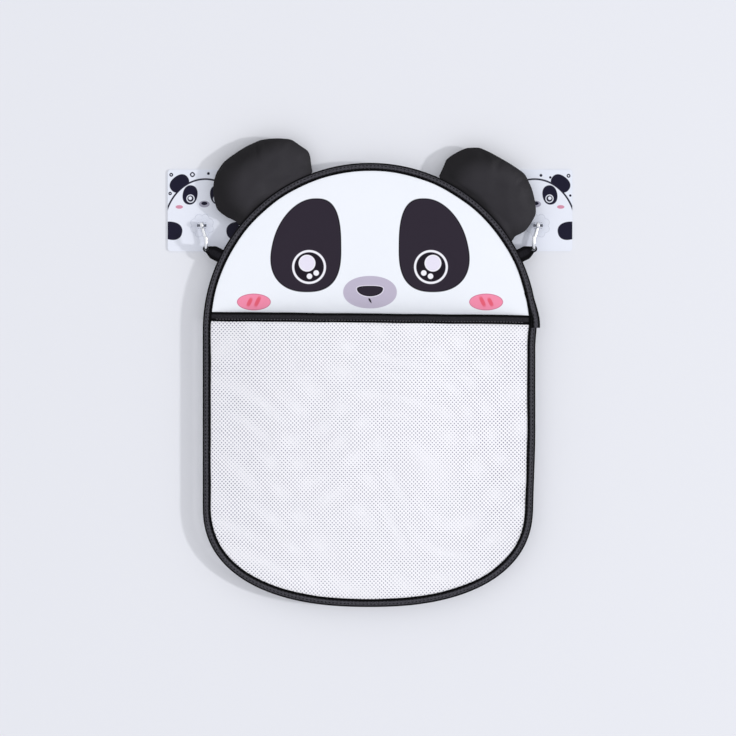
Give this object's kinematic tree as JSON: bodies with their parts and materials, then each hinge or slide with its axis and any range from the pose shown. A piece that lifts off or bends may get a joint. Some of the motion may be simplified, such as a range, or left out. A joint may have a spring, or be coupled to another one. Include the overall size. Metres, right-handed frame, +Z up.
{
  "type": "bath toy organizer",
  "caption": "Panda-faced net bag with padded ears and a black bound edge, hung by webbing loops on swinging wire hooks with adhesive wall patches; its open-topped net pocket holds bath toys.",
  "frame": {"origin": "on the wall plane, midway between the two adhesive patches, at the height of their centres", "axes": "+Z up, +X to the viewer's right, +Y into the wall; the front faces -Y"},
  "size_m": [0.3974, 0.0295, 0.4611],
  "materials": {
    "adhesive": "clear tacky gel layer",
    "printed_film": "printed glossy film",
    "clear_plastic": "clear moulded plastic",
    "steel": "bright drawn stainless wire",
    "webbing": "black woven webbing",
    "ear_nylon": "black plain-weave nylon with a low sheen",
    "padding": "white foam sheet",
    "printed_cloth": "smooth white printed polyester",
    "lining_cloth": "white woven lining",
    "net": "white knitted net",
    "binding_tape": "black woven binding tape, stitched"
  },
  "bodies": {
    "wall_patches": {"left_adhesive_pad": "adhesive", "left_patch_film": "printed_film", "left_hook_base": "clear_plastic", "left_hook_pin": "steel", "right_adhesive_pad": "adhesive", "right_patch_film": "printed_film", "right_hook_base": "clear_plastic", "right_hook_pin": "steel"},
    "left_hook": {"left_hook": "steel"},
    "right_hook": {"right_hook": "steel"},
    "hanging_loops": {"left_loop": "webbing", "right_loop": "webbing"},
    "bag": {"face_panel": "printed_cloth", "face_foam": "padding", "face_lining": "lining_cloth", "back_net": "net", "front_net": "net", "mouth_binding": "binding_tape", "edge_binding": "binding_tape"},
    "left_ear": {"left_ear_front": "ear_nylon", "left_ear_back": "ear_nylon", "left_ear_padding": "padding"},
    "right_ear": {"right_ear_front": "ear_nylon", "right_ear_back": "ear_nylon", "right_ear_padding": "padding"}
  },
  "joints": [
    {"name": "left_hook_flip", "type": "hinge", "parent": "wall_patches", "child": "left_hook", "pos_m": [-0.16501, -0.007, -0.015], "axis": [-1, 0, 0], "range_deg": [0, 60]},
    {"name": "right_hook_flip", "type": "hinge", "parent": "wall_patches", "child": "right_hook", "pos_m": [0.16501, -0.007, -0.015], "axis": [-1, 0, 0], "range_deg": [0, 60]},
    {"name": "loops_level", "type": "hinge", "parent": "left_hook", "child": "hanging_loops", "pos_m": [-0.16051, -0.0135, -0.0315], "axis": [-1, 0, 0], "range_deg": [-60, 0]},
    {"name": "bag_swing", "type": "hinge", "parent": "hanging_loops", "child": "bag", "pos_m": [0, -0.0135, -0.04476], "axis": [-1, 0, 0], "range_deg": [-2, 5]},
    {"name": "left_ear_fold", "type": "hinge", "parent": "bag", "child": "left_ear", "pos_m": [-0.09526, -0.01415, 0.01582], "axis": [0.814, 0, 0.5809], "range_deg": [0, 70], "stiffness_Nm_per_rad": 0.03},
    {"name": "right_ear_fold", "type": "hinge", "parent": "bag", "child": "right_ear", "pos_m": [0.10826, -0.01415, 0.00551], "axis": [0.7511, 0, -0.6601], "range_deg": [0, 70], "stiffness_Nm_per_rad": 0.03}
  ],
  "couplings": [
    {"joint": "right_hook_flip", "follows": "left_hook_flip", "ratio": 1},
    {"joint": "loops_level", "follows": "left_hook_flip", "ratio": -1}
  ]
}
